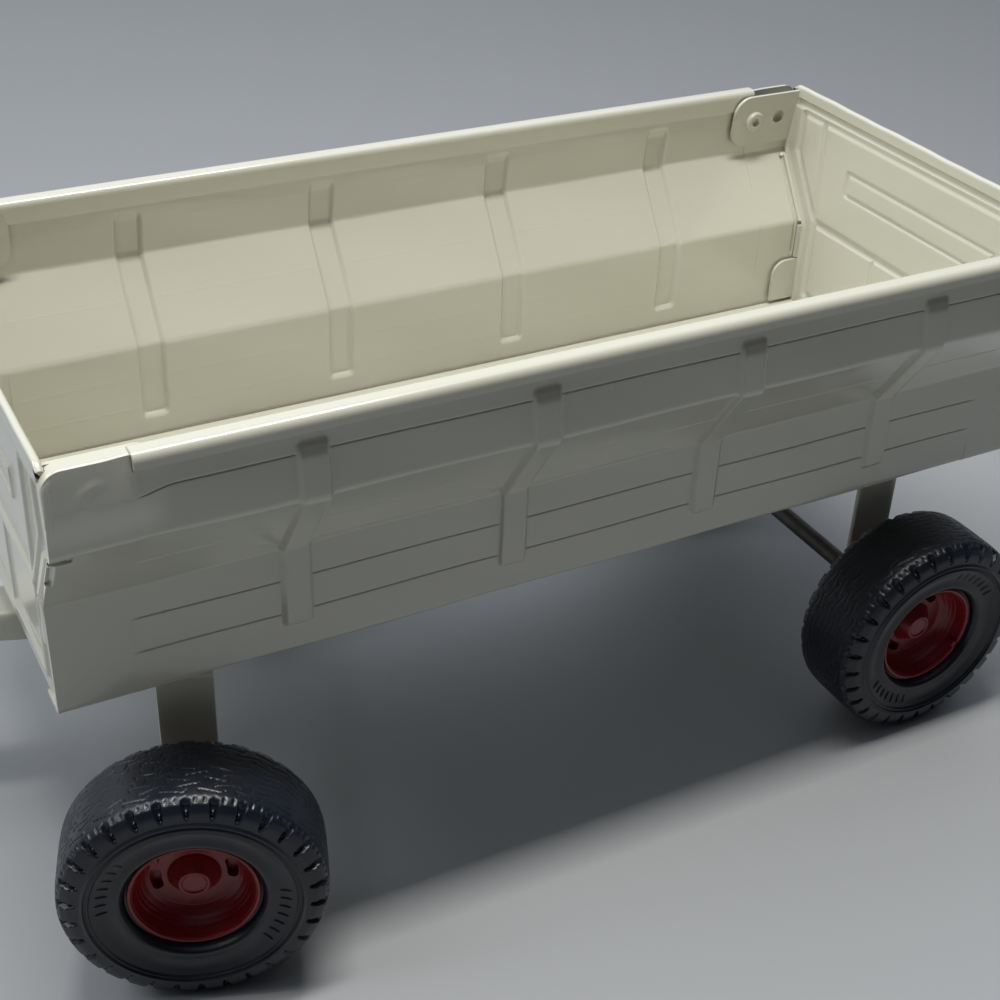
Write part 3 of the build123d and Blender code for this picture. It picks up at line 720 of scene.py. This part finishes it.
def tyre(name, place, body, node, seed, mark):
    P = tyre_points()
    nth = 900
    th = np.linspace(0, 2 * math.pi, nth, endpoint=False)
    r, u = P[:, 0], P[:, 1]
    Nn = -normals2(P)
    # make sure the normals point away from the axle at the crown
    mid = int(np.argmax(r))
    if Nn[mid, 0] < 0:
        Nn = -Nn
    TH, R = np.meshgrid(th, r, indexing="ij")
    U = np.broadcast_to(u, TH.shape)
    side = np.abs(U)
    d = np.zeros_like(TH)
    # crown: zigzag grooves round the tyre
    crown = sstep(24.7, 25.15, R) * (1 - sstep(6.5, 7.1, side))
    arc = TH * 25.4
    n_st = 23
    period = 2 * math.pi * 25.4 / n_st
    for k, uc in enumerate(np.linspace(-5.9, 5.9, 9)):
        ph = (arc / period + 0.41 * k + 0.12 * math.sin(seed + 3 * k)) % 1.0
        m = 1 if (k % 2) else -1
        # each mark: a long slanting stroke with a short hook at either end
        def stroke(p0, u0, p1, u1, wd=0.13):
            ax, ay = (ph - p0) * period, U - uc - m * u0
            vx, vy = (p1 - p0) * period, m * (u1 - u0)
            t = np.clip((ax * vx + ay * vy) / (vx * vx + vy * vy), 0, 1)
            return np.exp(-(np.hypot(ax - t * vx, ay - t * vy) / wd) ** 2)
        q = np.maximum(stroke(0.16, -0.45, 0.80, 0.45),
                       stroke(0.80, 0.45, 0.74, -0.35))
        q = np.maximum(q, stroke(0.16, -0.45, 0.10, 0.30))
        d -= 0.20 * q * crown
    # the tread is worn almost smooth towards the outer shoulder
    wear = 0.5 + 0.5 * np.sin(TH * 2 + seed) * np.cos(TH * 3 + U * 0.35 + seed)
    d *= 0.50 + 0.50 * wear
    # shoulder: radial lugs with rounded bottoms
    sh = sstep(21.2, 21.8, R) * sstep(7.2, 7.9, side)
    lane = (TH * N_LUG / (2 * math.pi) + np.where(U > 0, 0, 0.5)) % 1.0
    q = np.abs(lane - 0.5) * 2                # 1 at groove centre edges
    # a groove is wide at the tread edge and ends in a round bottom
    tt = np.clip((R - 21.9) / 3.0, 0, 1)
    gw = 0.10 + 0.20 * np.sqrt(tt)
    groove = (1 - sstep(gw - 0.10, gw + 0.10, q)) * sstep(21.3, 22.0, R)
    d -= 0.95 * groove * sh * (1 - sstep(24.3, 25.0, R) * 0.9)
    # a short raised tongue in the bottom of each groove
    d += 0.45 * (1 - sstep(0.05, 0.13, q)) * sstep(21.9, 22.3, R) * (
        1 - sstep(23.0, 23.6, R)) * sh
    # fine scallops along the tread edge
    lane2 = (TH * N_LUG * 3 / (2 * math.pi)) % 1.0
    d -= 0.22 * np.exp(-((lane2 - 0.5) / 0.16) ** 2) * np.exp(
        -((side - 7.7) / 0.55) ** 2) * sstep(24.2, 24.8, R)
    # two fine rings on the sidewall
    for rc, hh, wd in ((19.35, 0.22, 0.20), (20.3, 0.10, 0.2)):
        d += hh * np.exp(-((R - rc) / wd) ** 2) * sstep(7.5, 8.2, side)
    d -= 0.28 * np.exp(-((R - 19.85) / 0.22) ** 2) * sstep(7.5, 8.2, side)
    # plain raised ticks on two arcs of the sidewall, no lettering
    for a0 in (mark, mark + math.pi):
        for j in range(7):
            ac = a0 + (j - 3) * 0.125
            da = (TH - ac + math.pi) % (2 * math.pi) - math.pi
            wr = np.exp(-((R - 17.0) / 1.1) ** 8)
            d += 0.26 * np.exp(-((da * 17.0) / 0.26) ** 4) * wr * sstep(
                7.0, 7.6, side)
    RR = R + Nn[:, 0][None] * d
    UU = U + Nn[:, 1][None] * d
    UU = np.clip(UU, -10.0, 10.0)
    V = np.stack([RR * np.cos(TH), UU, RR * np.sin(TH)], -1)
    p = Parts()
    p.patch(V, wu=True)
    ob = p.make(name, TYRE, 50, place=place)
    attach(ob, body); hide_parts(node)
    return ob


def hub(name, place, body, nodes, spin, nub):
    """Dished hub, outward = +u. Slots are deep pockets in the dish."""
    prof = [(11.45, -6.5), (12.45, -6.7), (12.45, -7.25), (9.7, -7.2),
            (9.6, -1.6), (8.4, -0.3), (4.2, -0.3), (4.2, -16.3), (2.3, -16.3),
            (2.3, 1.5), (4.7, 1.62), (4.45, 2.3), (3.05, 4.0),
            (2.75, 4.25), (2.35, 4.22), (2.1, 3.98), (0.05, 3.98)]
    outer = [(11.45, -6.5), (11.45, 6.5), (12.42, 6.62), (12.45, 7.05),
             (12.1, 7.3), (11.65, 7.05), (11.45, 6.2), (10.90, 4.3),
             (10.80, 4.2), (10.42, 3.4), (10.32, 3.3), (9.95, 2.7),
             (9.85, 2.62), (9.2, 1.9), (9.05, 1.8), (8.4, 1.35),
             (5.3, 1.15), (5.0, 1.2), (4.75, 1.7), (3.1, 3.95),
             (2.9, 4.18), (2.5, 4.2), (2.3, 3.98), (2.05, 3.86),
             (0.05, 3.86)]
    rad = [0.0, 0.1, 0.25, 0.3, 0.35, 0.3, 0.15, 0.15, 0.15, 0.15, 0.15,
           0.15, 0.15, 0.25, 0.4, 0.4, 0.3, 0.4, 0.4, 0.2, 0.2, 0.12,
           0.12]
    P = resample(fillet(outer, rad, 4), 0.14)
    back = resample(fillet([(2.2, -16.2), (4.2, -16.2), (4.2, -0.5),
                            (8.4, -0.4), (9.6, -1.6), (9.7, -7.0),
                            (12.4, -7.2), (12.45, -6.6), (11.45, -6.5)],
                           [0.2, 1, 1, 1, 0.3, 0.2, 0.1], 4), 0.5)
    nth = 720
    th = np.linspace(0, 2 * math.pi, nth, endpoint=False)
    r, u = P[:, 0], P[:, 1]
    TH, R = np.meshgrid(th, r, indexing="ij")
    U = np.broadcast_to(u, TH.shape).copy()
    for a in (0.0, math.pi):
        da = (TH - spin - a + math.pi) % (2 * math.pi) - math.pi
        along = np.abs(da) * 7.3
        q = np.hypot(np.maximum(along - 1.5, 0), R - 7.3)
        hole = 1 - sstep(0.85, 1.05, q)
        U = U - 2.6 * hole * (R < 9) * (U > 1.0)
    # small moulding mark on the lip
    da = (TH - nub + math.pi) % (2 * math.pi) - math.pi
    q = np.hypot(da * 11.6, (R - 11.75))
    bumpn = 1 - sstep(0.55, 1.0, q)
    RR = R - 0.9 * bumpn * (U > 5.8) * (R < 12.2)
    V = np.stack([RR * np.cos(TH), U, RR * np.sin(TH)], -1)
    p = Parts()
    p.patch(V, wu=True)
    n2 = 96
    th2 = np.linspace(0, 2 * math.pi, n2, endpoint=False)
    TB, RB = np.meshgrid(th2, back[:, 0], indexing="ij")
    UB = np.broadcast_to(back[:, 1], TB.shape)
    p.patch(np.stack([RB * np.cos(TB), UB, RB * np.sin(TB)], -1), wu=True,
            flip=True)
    ob = p.make(name, RED, 34, place=place)
    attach(ob, body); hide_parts(*nodes)
    return ob


def place_front(sg):
    c, s = math.cos(STEER), math.sin(STEER)

    def f(V):
        V = V.copy()
        V[:, 1] = sg * V[:, 1]
        V[:, 1] += sg * 58.0
        x, y = V[:, 0].copy(), V[:, 1].copy()
        V[:, 0] = SEAT_X + x * c - y * s
        V[:, 1] = x * s + y * c
        V[:, 2] += AZ
        return V
    return f


def place_rear(sg):
    def f(V):
        V = V.copy()
        V[:, 1] = sg * V[:, 1] + sg * 50.7
        V[:, 0] += REAR_X
        V[:, 2] += AZ
        return V
    return f


for ax, pl in (("front", place_front), ("rear", place_rear)):
    for sd, sg in (("right", -1), ("left", 1)):
        f = pl(sg)
        spin = {"frontright": 3.25, "rearright": 0.92, "frontleft": 1.1,
                "rearleft": 0.35}[ax + sd]
        nub = {"rearright": -0.55}.get(ax + sd, 2.2)
        mark = {"frontright": 0.90, "rearright": 0.29}.get(ax + sd, 0.6)
        tyre(f"{ax}_{sd}_tyre_skin", f, f"{ax}_{sd}_wheel",
             f"{ax}_{sd}_tyre", spin, mark * math.pi)
        hub(f"{ax}_{sd}_hub_skin", f, f"{ax}_{sd}_wheel",
            [f"{ax}_{sd}_hub", f"{ax}_{sd}_hub_cap"], spin, nub)


# ------------------------------------------------------------------ running gear
def place_gear_front(V):
    c, s = math.cos(STEER), math.sin(STEER)
    V = V.copy()
    x, y = V[:, 0].copy(), V[:, 1].copy()
    V[:, 0] = SEAT_X + x * c - y * s
    V[:, 1] = x * s + y * c
    return V


def place_gear_rear(V):
    V = V.copy()
    V[:, 0] += REAR_X
    return V


def bracket(name, half, ztop, place, body, node):
    """U strip with rounded bends and round ear ends."""
    Tb = 1.3
    p = Parts()
    path = fillet([(-half, AZ - 5.4), (-half, ztop), (half, ztop),
                   (half, AZ - 5.4)], [2.6, 2.6], 10)
    path = resample(path, 0.5)
    NP = normals2(path)
    # half-width of the strip along the path, round at both ears
    drop = np.maximum(0, (AZ - path[:, 1]))
    hw = np.where(path[:, 1] < AZ, np.sqrt(np.maximum(
        5.5 ** 2 - drop ** 2, 0.05)), 5.5)
    us = np.array([-1, -0.97, -0.9, -0.6, 0, 0.6, 0.9, 0.97, 1.0])
    X = us[None] * hw[:, None]
    ed = np.array([0.35, 0.1, 0, 0, 0, 0, 0, 0.1, 0.35])   # eased edges
    A = np.stack([X, path[:, 0][:, None] + NP[:, 0][:, None] * ed * 1.0,
                  path[:, 1][:, None] + NP[:, 1][:, None] * ed], -1)
    B = np.stack([X, path[:, 0][:, None] + NP[:, 0][:, None] * (Tb - ed),
                  path[:, 1][:, None] + NP[:, 1][:, None] * (Tb - ed)], -1)
    p.shell(A, B)
    ob = p.make(name, CREAM, 40, place=place)
    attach(ob, body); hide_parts(node)
    return ob


bracket("front_bracket_skin", 40.5, 59.7, place_gear_front, "front_axle",
        "front_axle_bracket")
bracket("rear_bracket_skin", 33.2, 61.7, place_gear_rear, "box",
        "rear_axle_bracket")


def tongue():
    p = Parts()
    W, TT = 5.5, 1.2
    tz1 = 58.4
    # cross-section of the channel: down one cheek, over the top, down
    xs = np.concatenate([np.linspace(-8, -13, 8), np.linspace(-13.5, -27, 24),
                         np.linspace(-28, -89, 60), np.linspace(-89.4, -92, 10)])
    zt = np.interp(-xs, [8, 12.0, 14.0, 26, 28.0, 99.5],
                   [tz1, tz1, tz1 - 0.7, 49.55, 49.2, 49.2])
    depth = np.interp(-xs, [8, 10, 16, 26, 30, 89, 92, 99.5],
                      [0.6, 2, 7.0, 7.2, 6.8, 6.8, 1.3, 1.25])
    sec_u = np.linspace(0, 1, 21)
    A, B = [], []
    for x, z, dp in zip(xs, zt, depth):
        sec = resample(fillet([(-W, -dp), (-W, 0), (W, 0), (W, -dp)],
                              [1.3, 1.3], 7), 50)
        # even number of points: resample by arc length
        L = np.concatenate([[0], np.cumsum(np.linalg.norm(np.diff(
            sec, axis=0), axis=1))])
        q = np.concatenate([np.linspace(0, 1, 9)[:-1] * (dp - 1.0),
                            np.linspace(dp - 1.0, L[-1] - (dp - 1.0), 27),
                            L[-1] - np.linspace(0, 1, 9)[:-1][::-1] *
                            (dp - 1.0)]) if dp > 1.5 else np.linspace(
                                0, L[-1], 43)
        o = np.stack([np.interp(q, L, sec[:, 0]), np.interp(q, L, sec[:, 1])],
                     1)
        n = normals2(o)
        A.append(np.stack([np.full(len(o), x), o[:, 0], z + o[:, 1]], 1))
        i = o + n * TT
        B.append(np.stack([np.full(len(i), x), i[:, 0], z + i[:, 1]], 1))
    p.shell(np.array(A), np.array(B))
    # round hitch end with a hole
    th = np.linspace(0, 2 * math.pi, 72, endpoint=False)
    cx = -99.5
    # outer edge: half round in front, square where it meets the channel
    co, si = np.cos(th), np.abs(np.sin(th))
    ro = np.where(co > 0, np.minimum(5.5 / np.maximum(si, 1e-3),
                                     7.7 / np.maximum(co, 1e-3)), 5.5)
    sec = [(0.0, 48.0), (0.0, 48.9), (0.25, 49.19), (0.5, 49.2), (0.9, 49.2),
           (0.965, 49.1), (1.0, 48.9), (1.0, 48.2), (0.965, 48.02),
           (0.9, 48.0), (0.4, 48.0)]
    P = np.array([[(cx + (2.5 + f * (ro[k] - 2.5)) * math.cos(t),
                    (2.5 + f * (ro[k] - 2.5)) * math.sin(t), z)
                   for f, z in sec] for k, t in enumerate(th)])
    P[:, 2, :2] = P[:, 1, :2] * 0.92 + P[:, 2, :2] * 0.08
    p.patch(P, wu=True, wv=True)
    # mounting plate under the bracket web
    A = [[(x, y, tz1) for y in (-13, -6, 0, 6, 13)] for x in (-5.5, 0, 5.5)]
    B = [[(x, y, tz1 - TT) for y in (-13, -6, 0, 6, 13)] for x in
         (-5.5, 0, 5.5)]
    p.shell(np.array(A, float), np.array(B, float))
    A = [[(x, y, tz1) for y in (-5.5, 0, 5.5)] for x in (-13, -5.5)]
    B = [[(x, y, tz1 - TT) for y in (-5.5, 0, 5.5)] for x in (-13, -5.5)]
    p.shell(np.array(A, float), np.array(B, float))
    ob = p.make("tongue_skin", CREAM, 40, place=place_gear_front)
    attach(ob, "front_axle")
    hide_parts("tongue")
    return ob


tongue()

# carried-over CAD nodes get procedural finishes too ---------------------
FINISH = {"tyre_rubber": TYRE, "hub_plastic": RED, "axle_steel": DARK,
          "plain_steel": STEEL, "cream_paint": CREAM}
slots = {s["node"]: s["material_slot"] for s in frame["record"]["subparts"]}
for name, ob in frame["nodes"].items():
    ob.data.materials.clear()
    ob.data.materials.append(FINISH[slots[name]])

# ------------------------------------------------------------------ stage
floor_mat, nt, b = new_mat("stage_floor")
b.inputs["Base Color"].default_value = (0.37, 0.38, 0.39, 1)
b.inputs["Roughness"].default_value = 0.55
bpy.ops.mesh.primitive_plane_add(size=14, location=(0, 0, 0))
floor = bpy.context.object
floor.name = "floor"
floor.data.materials.append(floor_mat)

world = bpy.data.worlds.new("studio")
bpy.context.scene.world = world
world.use_nodes = True
wt = world.node_tree
bg = wt.nodes["Background"]
tc = wt.nodes.new("ShaderNodeTexCoord")
sep = wt.nodes.new("ShaderNodeSeparateXYZ")
wt.links.new(tc.outputs["Generated"], sep.inputs[0])
# soft tent: bright overhead and behind, dim towards the near horizon
dotp = wt.nodes.new("ShaderNodeVectorMath"); dotp.operation = "DOT_PRODUCT"
wt.links.new(tc.outputs["Generated"], dotp.inputs[0])
dotp.inputs[1].default_value = (-0.10, 0.66, 0.745)
sky = wt.nodes.new("ShaderNodeValToRGB")
el = sky.color_ramp.elements
el[0].position, el[0].color = 0.30, (0.03, 0.033, 0.038, 1)
el[1].position, el[1].color = 0.85, (0.78, 0.84, 0.93, 1)
wt.links.new(dotp.outputs["Value"], sky.inputs["Fac"])
wt.links.new(sky.outputs["Color"], bg.inputs[0])
bg.inputs[1].default_value = 0.75


def area(name, loc, target, size, power, color=(1, 1, 1), size_y=None):
    l = bpy.data.lights.new(name, "AREA")
    l.energy = power
    l.color = color
    l.size = size
    if size_y:
        l.shape = "RECTANGLE"
        l.size_y = size_y
    o = bpy.data.objects.new(name, l)
    bpy.context.scene.collection.objects.link(o)
    o.location = loc
    d = Vector(target) - Vector(loc)
    o.rotation_euler = d.to_track_quat("-Z", "Y").to_euler()
    return o


area("key", (0.0, -0.035, 0.66), (0.0, 0.01, 0.08), 0.34, 3.2, (1.0, 0.985, 0.95),
     0.06)
area("left", (-0.80, 0.30, 0.95), (0, 0, 0.06), 0.6, 5, (0.95, 0.98, 1.0))

# ------------------------------------------------------------------ camera
cam = bpy.data.cameras.new("camera")
cam.lens = 58.334
cam.sensor_width = 36
cam.sensor_fit = "HORIZONTAL"
cam_ob = bpy.data.objects.new("camera", cam)
bpy.context.scene.collection.objects.link(cam_ob)
right = Vector((0.8836, -0.4668, 0.0376)).normalized()
back = Vector((-0.4101, -0.7325, 0.5434)).normalized()
up = back.cross(right).normalized()
right = up.cross(back).normalized()
M = Matrix((right, up, back)).transposed().to_4x4()
M.translation = Vector(((-153.0 + SX) / 1000, -0.2730, 0.2538))
cam_ob.matrix_world = M
bpy.context.scene.camera = cam_ob
bpy.context.scene.view_settings.view_transform = "Standard"
